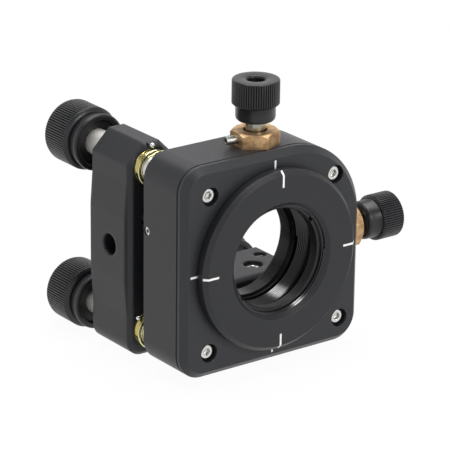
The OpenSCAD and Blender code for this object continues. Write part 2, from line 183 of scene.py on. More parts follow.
def copies(master, names):
    """The part once for each name, each with its own mesh."""
    made = [master]
    for _ in names[1:]:
        only(master)
        bpy.ops.object.duplicate(linked=False)
        made.append(bpy.context.object)
    for piece, name in zip(made, names):
        piece.name = name
        piece.data.name = name
    return made


def cad_copy(node, name):
    """A free copy of a CAD node's mesh, merged and without its stored normals."""
    only(frame["nodes"][node])
    bpy.ops.object.duplicate(linked=False)
    piece = bpy.context.object
    piece.parent = None
    for key in list(piece.keys()):
        del piece[key]
    piece.name = name
    piece.data.name = name
    bpy.ops.mesh.customdata_custom_splitnormals_clear()
    clean(piece)
    return piece


def body_with(node):
    bodies = frame["record"]["behaviour"]["bodies"]
    return next(body for body, members in bodies.items() if node in members)


def turned(name, profile, sides=96, tube=False):
    """A part turned about Z; the profile lists (radius, height) in mm. The last
    ring of a tube meets its first, and other parts end in flat faces."""
    nothing_selected()
    radius, height = profile[0]
    bpy.ops.mesh.primitive_circle_add(vertices=sides, radius=radius * MM,
                                      location=(0, 0, height * MM))
    piece = begin(name)
    edit_all()
    if not tube:
        bpy.ops.mesh.edge_face_add()
        bpy.ops.mesh.select_all(action="SELECT")
    for next_radius, next_height in profile[1:]:
        bpy.ops.mesh.extrude_region_move(
            TRANSFORM_OT_translate={"value": (0, 0, (next_height - height) * MM)})
        ratio = next_radius / radius
        bpy.ops.transform.resize(value=(ratio, ratio, 1), center_override=(0, 0, 0))
        radius, height = next_radius, next_height
    if tube:
        bpy.ops.mesh.select_all(action="DESELECT")
        bpy.ops.mesh.select_mode(type="EDGE")
        bpy.ops.mesh.select_non_manifold()
        bpy.ops.mesh.bridge_edge_loops()
    leave()
    clean(piece)
    return piece


def press_hexagon(piece, radius, low, high, sides):
    """Presses a round socket to six flats and leaves its corners where they are."""
    step = 2 * math.pi / sides
    sixth = sides // 6
    for lean in range(1, sixth // 2 + 1):
        def on_wall(co):
            turn = round(math.atan2(co.y, co.x) / step) % sixth
            return (low * MM - 1e-6 < co.z < high * MM + 1e-6
                    and abs(math.hypot(co.x, co.y) - radius * MM) < 1e-6
                    and min(turn, sixth - turn) == lean)

        pick(piece, on_wall)
        ratio = math.cos(math.pi / 6) / math.cos(math.pi / 6 - lean * step)
        bpy.ops.transform.resize(value=(ratio, ratio, 1), center_override=(0, 0, 0))
        leave()


def knurl(piece, radius, low, high, teeth, depth):
    """Presses a straight knurl between two heights of a part. The part has four
    sides a tooth."""
    step = 2 * math.pi / (4 * teeth)

    def in_groove(co):
        return (low * MM - 1e-6 < co.z < high * MM + 1e-6
                and abs(math.hypot(co.x, co.y) - radius * MM) < 1e-6
                and round(math.atan2(co.y, co.x) / step) % 4 == 0)

    pick(piece, in_groove)
    ratio = 1 - depth / radius
    bpy.ops.transform.resize(value=(ratio, ratio, 1), center_override=(0, 0, 0))
    leave()


def wound(name, pitch, turns, steps, piece):
    """Winds a closed section about Z and closes its two ends."""
    screw = piece.modifiers.new("winding", "SCREW")
    screw.axis = "Z"
    screw.angle = 2 * math.pi
    screw.screw_offset = pitch * MM
    screw.iterations = turns
    screw.steps = steps
    screw.render_steps = steps
    screw.use_merge_vertices = False
    apply(piece, screw)
    edit_all()
    bpy.ops.mesh.fill_holes(sides=16)
    leave()
    clean(piece)
    piece.name = name
    return piece


def thread_ridge(name, root, crest, pitch, low, high, steps=48, foot=0.94, top=0.14):
    """The ridge of a thread about Z, from its root radius to its crest."""
    nothing_selected()
    middle = (root + crest) / 2
    centre = (middle * MM, 0, low * MM)
    bpy.ops.mesh.primitive_plane_add(size=MM, location=centre,
                                     rotation=(math.pi / 2, 0, 0))
    ridge = begin(name)
    edit_all()
    bpy.ops.transform.resize(value=(abs(crest - root), 1, foot * pitch),
                             center_override=centre)
    bpy.ops.mesh.delete(type="ONLY_FACE")
    leave()
    outer = crest > root
    pick(ridge, lambda co: (co.x > centre[0]) == outer)
    bpy.ops.transform.resize(value=(1, 1, top), center_override=centre)
    leave()
    turns = max(1, round((high - low) / pitch))
    return wound(name, pitch, turns, steps, ridge)


def wire(name, points, thickness):
    """A bent wire along a list of points, with closed ends."""
    nothing_selected()
    bpy.ops.mesh.primitive_plane_add(size=thickness, location=points[0])
    piece = begin(name)
    edit_all()
    bpy.ops.mesh.merge(type="CENTER")
    for start, end in zip(points, points[1:]):
        bpy.ops.mesh.extrude_region_move(
            TRANSFORM_OT_translate={"value": tuple(end - start)})
    leave()
    only(piece)
    bpy.ops.object.convert(target="CURVE")
    piece = bpy.context.object
    piece.data.bevel_depth = thickness / 2
    piece.data.bevel_resolution = 3
    piece.data.use_fill_caps = True
    bpy.ops.object.convert(target="MESH")
    piece = bpy.context.object
    piece.name = name
    clean(piece)
    smooth(piece, 60)
    return piece


# Finishes
def new_material(name):
    material = bpy.data.materials.new(name)
    material.use_nodes = True
    tree = material.node_tree
    return material, tree, tree.nodes["Principled BSDF"]


def socket_value(node, socket, value):
    node.inputs[socket].default_value = value


def link(tree, out, into):
    tree.links.new(out, into)


def object_coords(tree):
    return tree.nodes.new("ShaderNodeTexCoord").outputs["Object"]


def stretched(tree, coords, scale):
    """The same coordinates drawn out along one axis, for brushed grain."""
    node = tree.nodes.new("ShaderNodeMapping")
    socket_value(node, "Scale", scale)
    link(tree, coords, node.inputs["Vector"])
    return node.outputs["Vector"]


def noise(tree, coords, scale, detail=2.0, rough=0.5):
    node = tree.nodes.new("ShaderNodeTexNoise")
    socket_value(node, "Scale", scale)
    socket_value(node, "Detail", detail)
    socket_value(node, "Roughness", rough)
    link(tree, coords, node.inputs["Vector"])
    return node.outputs["Fac"]


def math_node(tree, operation, a, b=None):
    node = tree.nodes.new("ShaderNodeMath")
    node.operation = operation
    for index, value in enumerate((a, b)):
        if value is None:
            continue
        if isinstance(value, (int, float)):
            node.inputs[index].default_value = value
        else:
            link(tree, value, node.inputs[index])
    return node.outputs[0]


def between(tree, fac, low, high):
    """Maps a 0 to 1 pattern to the range low to high."""
    node = tree.nodes.new("ShaderNodeMapRange")
    for socket, value in zip(("To Min", "To Max"), (low, high)):
        socket_value(node, socket, value)
    link(tree, fac, node.inputs["Value"])
    return node.outputs["Result"]


def mix_colour(tree, fac, a, b):
    node = tree.nodes.new("ShaderNodeMix")
    node.data_type = "RGBA"
    for socket, value in ((node.inputs[6], a), (node.inputs[7], b)):
        if isinstance(value, tuple):
            socket.default_value = (*value, 1)
        else:
            link(tree, value, socket)
    link(tree, fac, node.inputs[0])
    return node.outputs[2]


def bump(tree, height, distance, strength=1.0, normal=None):
    node = tree.nodes.new("ShaderNodeBump")
    socket_value(node, "Distance", distance)
    socket_value(node, "Strength", strength)
    link(tree, height, node.inputs["Height"])
    if normal is not None:
        link(tree, normal, node.inputs["Normal"])
    return node.outputs["Normal"]


def edge_mask(tree, radius):
    """1 on a sharp edge, 0 on a flat: how far a rounded normal leans."""
    rounded = tree.nodes.new("ShaderNodeBevel")
    rounded.samples = 6
    socket_value(rounded, "Radius", radius)
    geometry = tree.nodes.new("ShaderNodeNewGeometry")
    dot = tree.nodes.new("ShaderNodeVectorMath")
    dot.operation = "DOT_PRODUCT"
    link(tree, rounded.outputs["Normal"], dot.inputs[0])
    link(tree, geometry.outputs["Normal"], dot.inputs[1])
    lean = math_node(tree, "SUBTRACT", 1.0, dot.outputs["Value"])
    ramp = tree.nodes.new("ShaderNodeMapRange")
    for socket, value in (("From Min", 0.02), ("From Max", 0.3)):
        socket_value(ramp, socket, value)
    link(tree, lean, ramp.inputs["Value"])
    return ramp.outputs["Result"], rounded.outputs["Normal"]


def from_optic_axis(tree, coords):
    """Distance from the optic's axis, the two offsets from it, and the depth."""
    split = tree.nodes.new("ShaderNodeSeparateXYZ")
    link(tree, coords, split.inputs[0])
    x = split.outputs["X"]
    z = math_node(tree, "SUBTRACT", split.outputs["Z"], OPTIC_AXIS.z)
    squares = math_node(tree, "ADD", math_node(tree, "POWER", x, 2.0),
                        math_node(tree, "POWER", z, 2.0))
    radius = math_node(tree, "SQRT", squares)
    return radius, x, z, split.outputs["Y"]


def stripe(tree, along, across, start, end, half):
    """1 inside a short bar: start < along < end and |across| < half."""
    inside = math_node(tree, "MULTIPLY",
                       math_node(tree, "GREATER_THAN", along, start),
                       math_node(tree, "LESS_THAN", along, end))
    thin = math_node(tree, "LESS_THAN", across, half)
    return math_node(tree, "MULTIPLY", inside, thin)


def index_marks(tree, coords, start, end, front):
    """Four white marks on the front, at the top, the bottom and both sides."""
    _, x, z, y = from_optic_axis(tree, coords)
    x = math_node(tree, "ABSOLUTE", x)
    z = math_node(tree, "ABSOLUTE", z)
    half = 0.26 * MM
    bars = math_node(tree, "MAXIMUM", stripe(tree, z, x, start, end, half),
                     stripe(tree, x, z, start, end, half))
    return math_node(tree, "MULTIPLY", bars, math_node(tree, "LESS_THAN", y, front))


def anodised(name, shade=0.014, marks=None, turned_pitch=None, rough=0.42, gloss=0.4,
             grain_depth=0.012, edge_width=0.12, edge_wear_and_highlight=0.8):
    """Black anodised aluminium over a fine bead-blasted or turned surface."""
    material, tree, shader = new_material(name)
    coords = object_coords(tree)
    cloud = noise(tree, coords, 60, 3)
    dark = (shade * 0.84, shade * 0.88, shade * 1.04)
    light = (shade * 0.98, shade * 1.03, shade * 1.24)
    colour = mix_colour(tree, cloud, dark, light)
    # Sharp edges and chamfers are lightened in the colour: partly wear, partly a painted
    # highlight where the edge catches the light.
    lightened_edges, rounded = edge_mask(tree, edge_width * MM)
    edge = (shade * 7.0, shade * 7.0, shade * 7.4)
    colour = mix_colour(tree, math_node(tree, "MULTIPLY", lightened_edges, edge_wear_and_highlight), colour, edge)
    if marks:
        paint = index_marks(tree, coords, *marks)
        colour = mix_colour(tree, paint, colour, WHITE_PAINT)
    link(tree, colour, shader.inputs["Base Color"])
    grain = noise(tree, coords, 5200, 2, 0.6)
    link(tree, between(tree, noise(tree, coords, 900, 3), rough - 0.05, rough + 0.07),
         shader.inputs["Roughness"])
    normal = bump(tree, grain, grain_depth * MM, 0.5, rounded)
    if turned_pitch:
        radius = from_optic_axis(tree, coords)[0]
        angle = math_node(tree, "MULTIPLY", radius, 2 * math.pi / turned_pitch)
        lines = math_node(tree, "SINE", angle)
        normal = bump(tree, lines, 0.0015 * MM, 0.4, normal)
    link(tree, normal, shader.inputs["Normal"])
    socket_value(shader, "Specular IOR Level", gloss)
    return material


def shade_hollows(material):
    """Takes the gloss out of a knurl's grooves, as painted shade in the hollows."""
    tree = material.node_tree
    shader = tree.nodes["Principled BSDF"]
    geometry = tree.nodes.new("ShaderNodeNewGeometry")
    open_part = math_node(tree, "SUBTRACT", geometry.outputs["Pointiness"], 0.40)
    open_part = math_node(tree, "MULTIPLY", open_part, 10.0)
    open_part.node.use_clamp = True
    gloss = shader.inputs["Specular IOR Level"]
    link(tree, math_node(tree, "MULTIPLY", open_part, gloss.default_value), gloss)


def metal(name, colour, rough, grain_scale=4000, grain_depth=0.004, metallic=1.0):
    """Bare metal with a fine machined grain and a little tarnish."""
    material, tree, shader = new_material(name)
    coords = object_coords(tree)
    cloud = noise(tree, coords, 180, 4)
    darker = tuple(c * 0.82 for c in colour)
    link(tree, mix_colour(tree, cloud, darker, colour), shader.inputs["Base Color"])
    socket_value(shader, "Metallic", metallic)
    link(tree, between(tree, noise(tree, coords, 700, 3), max(0.02, rough - 0.05),
                       rough + 0.08), shader.inputs["Roughness"])
    rounded = edge_mask(tree, 0.08 * MM)[1]
    link(tree, bump(tree, noise(tree, coords, grain_scale, 2, 0.6),
                    grain_depth * MM, 0.5, rounded), shader.inputs["Normal"])
    return material


def patinated_bronze(name):
    """Machined bronze with pink and brown patches, fine scratches and bright edges."""
    material, tree, shader = new_material(name)
    coords = object_coords(tree)
    patches = between(tree, noise(tree, coords, 420, 5, 0.7), -1.2, 2.2)
    colour = mix_colour(tree, patches, (0.24, 0.13, 0.05), (0.70, 0.49, 0.25))
    blush = noise(tree, coords, 140, 2)
    colour = mix_colour(tree, math_node(tree, "MULTIPLY", blush, 0.4), colour,
                        (0.62, 0.40, 0.26))
    lightened_edges, rounded = edge_mask(tree, 0.14 * MM)
    colour = mix_colour(tree, lightened_edges, colour, (0.86, 0.66, 0.42))
    link(tree, colour, shader.inputs["Base Color"])
    socket_value(shader, "Metallic", 1.0)
    link(tree, between(tree, noise(tree, coords, 500, 4), 0.40, 0.62),
         shader.inputs["Roughness"])
    scratches = noise(tree, stretched(tree, coords, (1, 0.15, 0.3)), 2600, 2)
    normal = bump(tree, noise(tree, coords, 420, 3), 0.05 * MM, 0.35, rounded)
    link(tree, bump(tree, scratches, 0.006 * MM, 0.5, normal), shader.inputs["Normal"])
    return material


cover_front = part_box("front_cover")[0].y
disc_front = cell_low.y
blasted = anodised("blasted_black")
# The back plate's edges take a wide rounded normal and a slight painted highlight in the
# colour.
plate_black = anodised("plate_black", edge_width=1.0, edge_wear_and_highlight=0.1)
cover_black = anodised("cover_black", shade=0.019,
                       marks=(18.6 * MM, 23.4 * MM, cover_front + 0.05 * MM))
disc_black = anodised("disc_black", shade=0.012, turned_pitch=0.11 * MM,
                      edge_width=0.25,
                      marks=(17.8 * MM, 22.0 * MM, disc_front + 0.97 * MM))
knob_black = anodised("knob_black", shade=0.009, rough=0.32, gloss=0.45)
shade_hollows(knob_black)
ring_black = anodised("ring_black", shade=0.010, rough=0.36)
# The thread and the wall of the bore take darker copies of the black: painted shade inside
# the bore.
thread_black_painted_shade = anodised("thread_black_painted_shade", shade=0.003, rough=0.15, gloss=0.5,
                        grain_depth=0.001, edge_width=0.03)
bore_black_painted_shade = anodised("bore_black_painted_shade", shade=0.004, rough=0.28, gloss=0.28,
                      grain_depth=0.001)
stainless = metal("stainless", (0.74, 0.74, 0.71), 0.18)
ground_steel = metal("ground_steel", (0.92, 0.90, 0.84), 0.36, grain_depth=0.001,
                     metallic=0.55)
# The stage screws' steel is darkened and tinted olive in its colour: a painted reflection
# of the dark knobs and bronze hexagons round it.
olive_reflection_steel = metal("olive_reflection_steel", (0.36, 0.35, 0.29), 0.22, grain_depth=0.001)
dull_steel = metal("dull_steel", (0.60, 0.60, 0.57), 0.34)
polished = metal("polished_steel", (0.80, 0.80, 0.80), 0.08, grain_depth=0.001)
brass = metal("bushing_brass", (0.78, 0.72, 0.40), 0.08, grain_depth=0.0005)
bronze = patinated_bronze("phosphor_bronze")
gold_wire = metal("gold_wire", (0.76, 0.68, 0.36), 0.14)
spring_steel = metal("spring_steel", (0.10, 0.10, 0.10), 0.30)
plain_aluminium = metal("plain_aluminium", (0.66, 0.66, 0.67), 0.40)

NODE_FINISH = {
    plate_black: ["back_plate"],
    blasted: ["front_housing"],
    cover_black: ["front_cover"],
    disc_black: ["cell"],
    bore_black_painted_shade: ["cell_block"],
    ring_black: ["retaining_ring"],
    knob_black: ["lift_knob", "shift_knob"],
    stainless: ["cover_screws", "spring_pins", "spring_anchors", "bushing_lock_top",
                "bushing_lock_side", "small_lock_top", "small_lock_side",
                "lift_plunger", "shift_plunger", "lift_screw", "shift_screw"],
    dull_steel: ["lift_lock", "shift_lock"],
    bronze: ["lift_bushing", "shift_bushing"],
    polished: ["cone_seat", "vee_seat", "flat_seat", "lift_ball", "shift_ball"],
    plain_aluminium: ["guide_ring"],
    spring_steel: ["lift_plunger_spring", "shift_plunger_spring", "spring_top",
                   "spring_side"],
    gold_wire: ["hook_corner", "hook_top"],
}
for which in TILT_ADJUSTERS:
    NODE_FINISH[stainless] += ["adj_screw_" + which]
    NODE_FINISH[polished] += ["adj_ball_" + which]
    NODE_FINISH[knob_black] += ["adj_knob_" + which]
NODE_FINISH[brass] = ["bushing_" + which for which in TILT_ADJUSTERS]
for finish, nodes in NODE_FINISH.items():
    for node in nodes:
        for slot in frame["nodes"][node].material_slots:
            slot.material = finish


def finish_piece(piece, material, body, slot, *nodes):
    """Gives a piece its finish, the body it moves with and the nodes it replaces."""
    piece.data.materials.clear()
    piece.data.materials.append(material)
    if nodes:
        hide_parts(*nodes)
    if body:
        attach(piece, body)
    return piece


# Knobs of the three tilt adjusters, with their straight knurl
def tilt_knobs():
    low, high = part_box("adj_knob_corner")
    length = (high.y - low.y) / MM
    outer = (high.x - low.x) / 2 / MM
    collar = outer - 0.75
    skirt, teeth = 4.2, 80
    profile = [(TILT_BORE, 1.2), (collar - 1.4, 1.2), (collar - 1.4, 0.2),
               (collar - 1.25, 0.0), (collar - 0.62, 0.0), (collar - 0.28, 0.1),
               (collar - 0.08, 0.32), (collar, 0.65), (collar - 0.12, 1.15),
               (collar - 0.42, skirt - 1.45), (collar - 0.72, skirt - 1.3),
               (collar - 0.75, skirt - 0.85), (collar - 0.1, skirt - 0.75),
               (collar + 0.12, skirt - 0.6), (outer - 0.14, skirt - 0.26),
               (outer - 0.02, skirt - 0.1), (outer - 0.02, skirt),
               (outer - 0.02, length - 1.35), (outer - 0.2, length - 0.8),
               (outer - 0.6, length - 0.3), (outer - 1.2, length), (2.75, length),
               (2.45, length - 0.3), (2.45, length - 2.5),
               (TILT_BORE, length - 2.55)]
    knob = turned("tilt_knob", profile, sides=4 * teeth, tube=True)
    knurl(knob, outer - 0.02, skirt - 0.05, length - 1.3, teeth, 0.42)
    smooth(knob, 28)
    for which, piece in zip(TILT_ADJUSTERS, copies(
            knob, ["knob_" + which for which in TILT_ADJUSTERS])):
        stand(piece, ALONG_Y, ADJUSTER_AXIS[which] + Vector((0, low.y, 0)))
        finish_piece(piece, knob_black, which + "_knob", "knob_black",
                     "adj_knob_" + which)


# Knobs of the two stage adjusters
def stage_knobs():
    low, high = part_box("lift_knob")
    length = (high.z - low.z) / MM
    outer = (high.x - low.x) / 2 / MM
    collar = outer - 0.9
    skirt, teeth = 3.8, 60
    profile = [(STAGE_BORE, 0.35), (collar - 1.3, 0.35), (collar - 1.2, 0.05),
               (collar - 0.95, 0.0), (collar - 0.5, 0.15), (collar - 0.12, 0.55),
               (collar, 1.05), (collar, skirt - 0.35), (collar + 0.12, skirt - 0.12),
               (outer - 0.4, skirt), (outer - 0.02, skirt + 0.36),
               (outer - 0.02, skirt + 0.44), (outer - 0.02, length - 0.28),
               (outer - 0.06, length - 0.2), (outer - 0.26, length - 0.02),
               (outer - 0.36, length), (2.75, length), (2.4, length - 0.12),
               (2.1, length - 0.5), (2.1, length - 2.9),
               (STAGE_BORE, length - 2.95)]
    knob = turned("stage_knob", profile, sides=4 * teeth, tube=True)
    knurl(knob, outer - 0.02, skirt + 0.34, length - 0.25, teeth, 0.36)
    smooth(knob, 28)
    lift, shift = copies(knob, ["knob_lift", "knob_shift"])
    stand(lift, ALONG_Z, Vector((0, STAGE_Y, low.z)))
    stand(shift, ALONG_X, Vector((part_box("shift_knob")[0].x, STAGE_Y, OPTIC_AXIS.z)))
    finish_piece(lift, knob_black, "lift_knob", "knob_black", "lift_knob")
    finish_piece(shift, knob_black, "shift_knob", "knob_black", "shift_knob")


# Fine screws: a ball seat, a thread, a plain shank and a hexagon socket
def threaded_screw(name, length, crest, pitch, ball, socket, thread, steps):
    """Sizes in mm; thread gives the heights at which the thread starts and ends."""
    root = crest - 0.62 * pitch
    start, end = thread
    profile = [(0.25 * ball, 1.2), (0.7 * ball, 0.75), (ball, 0.0), (crest, 0.8),
               (crest, start - 0.2), (root, start), (root, end), (crest, end + 0.2),
               (crest, length - 0.45), (crest - 0.4, length), (socket + 0.25, length),
               (socket, length - 0.2), (socket, length - 3.0), (0.05, length - 3.6)]
    core = turned(name + "_core", profile, sides=48)
    press_hexagon(core, socket, length - 3.0, length - 0.2, 48)
    ridge = thread_ridge(name + "_ridge", root - 0.02, crest, pitch, start + 0.2,
                         end, steps)
    screw = joined([core, ridge], name)
    smooth(screw, 35)
    return screw


def tilt_screws():
    low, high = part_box("adj_screw_corner")
    radius = (high.x - low.x) / 2 / MM
    screw = threaded_screw("tilt_screw", (high.y - low.y) / MM, radius, TILT_PITCH,
                           2.55, 1.44, (2.6, 17.2), 48)
    for which, piece in zip(TILT_ADJUSTERS, copies(
            screw, ["screw_" + which for which in TILT_ADJUSTERS])):
        stand(piece, ALONG_Y, ADJUSTER_AXIS[which] + Vector((0, low.y, 0)))
        finish_piece(piece, ground_steel, which + "_knob", "stainless",
                     "adj_screw_" + which)


def stage_screws():
    low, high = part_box("lift_screw")
    radius = (high.x - low.x) / 2 / MM
    screw = threaded_screw("stage_screw", (high.z - low.z) / MM, radius, STAGE_PITCH,
                           2.0, 1.15, (2.0, 8.6), 36)
    lift, shift = copies(screw, ["screw_lift", "screw_shift"])
    stand(lift, ALONG_Z, Vector((0, STAGE_Y, low.z)))
    stand(shift, ALONG_X, Vector((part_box("shift_screw")[0].x, STAGE_Y, OPTIC_AXIS.z)))
    finish_piece(lift, olive_reflection_steel, "lift_knob", "stainless", "lift_screw")
    finish_piece(shift, olive_reflection_steel, "shift_knob", "stainless", "shift_screw")


# Hexagon bushings of the stage adjusters, with their bore opened at the top
def stage_bushings():
    hexagon_from, bore_within, mouth_depth = 3.4 * MM, 2.6 * MM, 0.1 * MM
    narrower, wider = 0.945, 1.16
    for node, axis_point, squash in (
            ("lift_bushing", Vector((0, STAGE_Y, 0)), (1, 1, 0)),
            ("shift_bushing", Vector((0, STAGE_Y, OPTIC_AXIS.z)), (0, 1, 1))):
        bushing = cad_copy(node, node.replace("bushing", "hexagon"))
        across = Vector(squash)
        outer_end = (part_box(node)[1] * (Vector((1, 1, 1)) - across)).length

        def reach(co):
            return ((co - axis_point) * across).length

        pick(bushing, lambda co: reach(co) > hexagon_from)
        bpy.ops.transform.resize(value=[narrower if part else 1 for part in squash],
                                 center_override=axis_point)
        leave()
        pick(bushing, lambda co: reach(co) < bore_within
             and (co * (Vector((1, 1, 1)) - across)).length > outer_end - mouth_depth)
        bpy.ops.transform.resize(value=[wider if part else 1 for part in squash],
                                 center_override=axis_point)
        leave()
        smooth(bushing, 25)
        finish_piece(bushing, bronze, body_with(node), "bronze_hex", node)


# Flanged brass bushings of the tilt adjusters
def tilt_bushings():
    low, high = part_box("bushing_corner")
    outer = (high.x - low.x) / 2 / MM
    length = (high.y - low.y) / MM
    seat = (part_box("back_plate")[0].y - low.y) / MM
    bore = TILT_BORE
    neck = outer - 0.95
    profile = [(bore, 0.35), (bore + 0.1, 0.1), (bore + 0.22, 0.02),
               (bore + 0.3, 0.14), (outer - 0.46, 0.16), (outer - 0.38, 0.04),
               (outer - 0.26, 0.0), (outer - 0.1, 0.06), (outer, 0.22),
               (outer - 0.06, 0.4), (neck, 0.5), (neck, seat),
               (outer - 0.45, seat), (outer - 0.45, length), (bore + 0.3, length),
               (bore, length - 0.3)]
    bushing = turned("tilt_bushing", profile, sides=96, tube=True)
    smooth(bushing, 30)
    for which, piece in zip(TILT_ADJUSTERS, copies(
            bushing, ["bushing_of_" + which for which in TILT_ADJUSTERS])):
        stand(piece, ALONG_Y, ADJUSTER_AXIS[which] + Vector((0, low.y, 0)))
        finish_piece(piece, brass, "back", "bushing_brass", "bushing_" + which)


# Heads of the four cover screws, with their sockets
def cover_screw_heads():
    low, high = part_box("cover_screws")
    front = low.y
    centre_height = OPTIC_AXIS.z
    head = 1.75
    last_across, last_up = 17.6, 16.6     # the fourth screw, from the optic's axis
    profile = [(0.8, 6.5), (0.8, 1.1), (head, 1.05), (head, 0.3), (head - 0.1, 0.1),
               (head - 0.3, 0.0), (1.1, 0.0), (0.95, 0.1), (0.95, 1.0), (0.05, 1.25)]
    screw = turned("cover_screw", [(r, -depth) for r, depth in profile], sides=48)
    press_hexagon(screw, 0.95, -1.0, -0.1, 48)
    smooth(screw, 35)
    right_low = Vector((high.x - head * MM, front, low.z + head * MM))
    left_high = Vector((low.x + head * MM, front, high.z - head * MM))
    places = [Vector((left_high.x, front, right_low.z)), left_high, right_low,
              Vector((last_across * MM, front, centre_height + last_up * MM))]
    names = ["cover_screw_left_low", "cover_screw_left_high",
             "cover_screw_right_low", "cover_screw_right_high"]
    heads = copies(screw, names)
    for piece, place, turn in zip(heads, places, (0.26, 0.9, 0.5, 1.2)):
        stand(piece, (math.pi / 2, turn, 0), place)
    finish_piece(joined(heads, "cover_screw_heads"), stainless, "front",
                 "stainless", "cover_screws")


# Large set screws of the back plate, nearly flush with its arms
def plate_set_screws():
    low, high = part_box("bushing_lock_side")
    radius = (high.x - low.x) / 2 / MM
    length, socket = 2.05, 1.45
    profile = [(0.5, 0.0), (radius, 0.4), (radius, length - 0.3),
               (radius - 0.3, length), (1.6, length), (socket, length - 0.1),
               (socket, length - 1.3), (0.05, length - 1.7)]
    screw = turned("plate_set_screw", profile, sides=48)
    press_hexagon(screw, socket, length - 1.3, length - 0.1, 48)
    smooth(screw, 35)
    side, top = copies(screw, ["set_screw_side", "set_screw_top"])
    stand(side, ALONG_Z, Vector(((low.x + high.x) / 2, (low.y + high.y) / 2, low.z)))
    finish_piece(side, stainless, "back", "stainless", "bushing_lock_side")
    low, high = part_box("bushing_lock_top")
    stand(top, ALONG_X, Vector((low.x, (low.y + high.y) / 2, (low.z + high.z) / 2)))
    finish_piece(top, stainless, "back", "stainless", "bushing_lock_top")


# The optic's thread, on the wall of the cell's bore
def optic_thread():
    ridge = thread_ridge("optic_thread", OPTIC_BORE + 0.04, OPTIC_BORE - 0.33,
                         OPTIC_PITCH, -2.0, 8.1, 128, foot=0.80, top=0.12)
    smooth(ridge, 30)
    stand(ridge, ALONG_Y, OPTIC_AXIS + Vector((0, cover_front, 0)))
    finish_piece(ridge, thread_black_painted_shade, "cell", "anodised_black")


# Return springs between the plates: a closed coil with a loop at each end. The
# coil is in three lengths, one for each of the hinges that the tilt is made of
def coil_length(name, start, turns):
    nothing_selected()
    bpy.ops.mesh.primitive_circle_add(
        vertices=10, radius=0.25 * MM, location=(1.22 * MM, 0, start * MM),
        rotation=(math.pi / 2, 0, 0))
    return wound(name, SPRING_PITCH, turns, 28, begin(name))


def end_loop(height):
    nothing_selected()
    bpy.ops.mesh.primitive_torus_add(
        major_segments=32, minor_segments=10, major_radius=1.33 * MM,
        minor_radius=0.25 * MM, location=(0, 0, height * MM),
        rotation=(0, math.pi / 2, 0))
    return begin("spring_loop")


def return_springs():
    bend_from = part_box("front_housing")[1].y - 1.0 * MM
    for which, spin, bends in (("top", 0.0, (1.6, 3.8, 1.6)),
                               ("side", math.pi / 2, (4.2, 1.0, 1.8))):
        low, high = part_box("spring_" + which)
        middle = (low + high) / 2
        length = (high.y - low.y) / MM
        first = SPRING_LOOP
        lead = round(((bend_from - low.y) / MM + bends[0] - first) / SPRING_PITCH)
        centre_turns = round(bends[1] / SPRING_PITCH)
        rest = round((length - 2 * SPRING_LOOP) / SPRING_PITCH) - lead - centre_turns
        split_a = first + lead * SPRING_PITCH
        split_b = split_a + centre_turns * SPRING_PITCH
        seam_a = low.y + split_a * MM
        seam_b = low.y + split_b * MM
        lengths = (
            ("front", first, lead, 1.8, ("tilt_second", "front"), seam_a, bend_from),
            ("middle", split_a, centre_turns, None, ("tilt_first", "tilt_second"),
             seam_b, seam_a),
            ("back", split_b, rest, length - 1.6, ("back", "tilt_first"),
             seam_b + bends[2] * MM, seam_b))
        for part, start, turns, loop, ends, begins_at, ends_at in lengths:
            name = "return_spring_%s_%s" % (which, part)
            spring = coil_length(name, start, turns)
            if loop:
                spring = joined([spring, end_loop(loop)], name)
            smooth(spring, 60)
            stand(spring, (-math.pi / 2, spin, 0), Vector((middle.x, low.y, middle.z)))
            nodes = ["spring_" + which] if part == "middle" else []
            finish_piece(spring, spring_steel, None, "spring_steel", *nodes)
            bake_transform(spring)


# Coils behind the two plungers, which the plungers press shorter
def plunger_springs():
    for which, turn, axis in (("lift", ALONG_Z, (0, 0, 1)),
                              ("shift", ALONG_X, (1, 0, 0))):
        low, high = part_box(which + "_plunger_spring")
        nothing_selected()
        bpy.ops.mesh.primitive_circle_add(
            vertices=8, radius=0.19 * MM, location=(1.15 * MM, 0, 0.2 * MM),
            rotation=(math.pi / 2, 0, 0))
        name = "plunger_coil_" + which
        spring = wound(name, 0.72, 5, 24, begin(name))
        smooth(spring, 60)
        foot = Vector([low[i] if axis[i] else (low[i] + high[i]) / 2 for i in range(3)])
        stand(spring, turn, foot)
        finish_piece(spring, spring_steel, "front", "spring_steel",
                     which + "_plunger_spring")
        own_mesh(spring)


